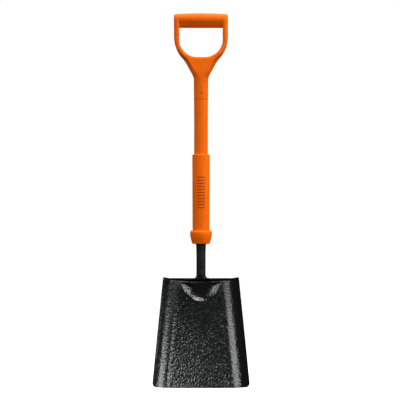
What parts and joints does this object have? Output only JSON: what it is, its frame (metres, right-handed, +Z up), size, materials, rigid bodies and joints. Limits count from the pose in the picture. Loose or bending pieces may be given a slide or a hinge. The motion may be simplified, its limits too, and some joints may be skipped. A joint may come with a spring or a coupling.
{
  "type": "digging shovel",
  "caption": "Insulated square-mouth digging shovel with a D-handle, plastic-covered shaft, hand sleeve with flared collar and a lipped steel blade.",
  "frame": {"origin": "the hang point: underside of the grip bar at its middle, on the shaft's axis, where a hook carries the shovel", "axes": "+Z up along the shaft towards the grip, +X across the blade to the right as seen from its hollow face, -Y the way the hollow face looks"},
  "size_m": [0.2514, 0.124, 0.9826],
  "materials": {
    "orange_plastic": "satin moulded polypropylene",
    "black_hammer_paint": "gloss hammer paint on pressed steel",
    "black_satin_paint": "satin paint on forged steel",
    "black_rubber": "matt",
    "glass_fibre": "pultruded glass fibre",
    "rivet_steel": "plain",
    "foam": "closed-cell foam",
    "grey_plastic": "moulded"
  },
  "bodies": {
    "root": {"blade": "black_hammer_paint", "neck": "black_satin_paint", "neck_weld": "black_satin_paint", "palm_weld": "black_satin_paint", "collar": "orange_plastic", "grip_sleeve": "orange_plastic", "shaft_cover": "orange_plastic", "d_handle": "orange_plastic", "neck_seal": "black_rubber", "shaft_tube": "glass_fibre", "tang_rivets": "rivet_steel", "tube_filler": "foam", "tube_plug": "grey_plastic", "handle_pin": "orange_plastic"}
  },
  "joints": []
}
